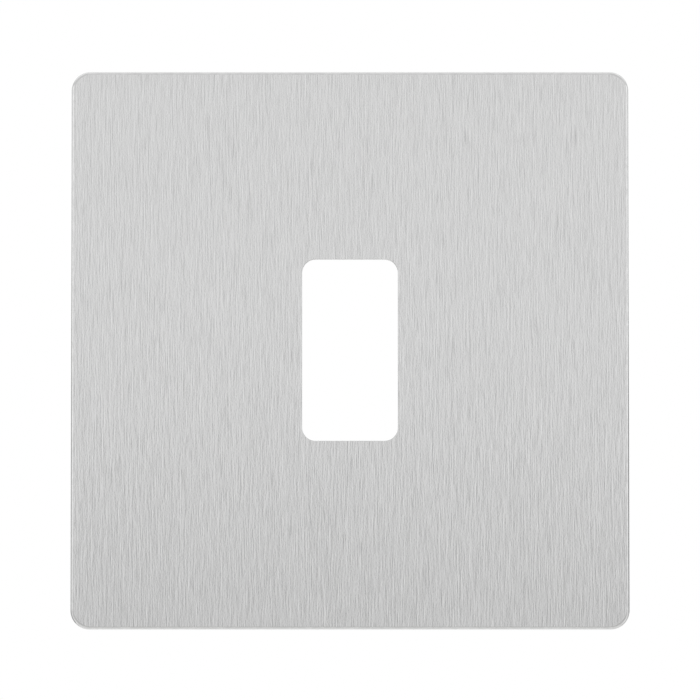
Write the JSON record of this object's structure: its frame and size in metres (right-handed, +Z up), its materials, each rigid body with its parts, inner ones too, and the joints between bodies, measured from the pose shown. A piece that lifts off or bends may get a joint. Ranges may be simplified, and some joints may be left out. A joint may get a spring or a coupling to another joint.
{
  "type": "grid switch plate",
  "caption": "Flat square front plate of brushed steel with an upright rounded aperture for a switch module, on a moulded carrier whose snap legs clip it to a grid frame.",
  "frame": {"origin": "middle of the plate on the wall plane, which is the plane of the skirt's rear rim", "axes": "+X to the right as seen from the room, +Y into the wall, +Z up; the brushed face looks along -Y"},
  "size_m": [0.095, 0.0083, 0.095],
  "materials": {
    "brushed_steel": "stainless steel, brushed straight up and down, with a smooth rounded edge",
    "moulded_grey": "grey polycarbonate with a fine eroded mould texture"
  },
  "bodies": {
    "root": {"front_plate": "brushed_steel", "clip_carrier": "moulded_grey"}
  },
  "joints": []
}
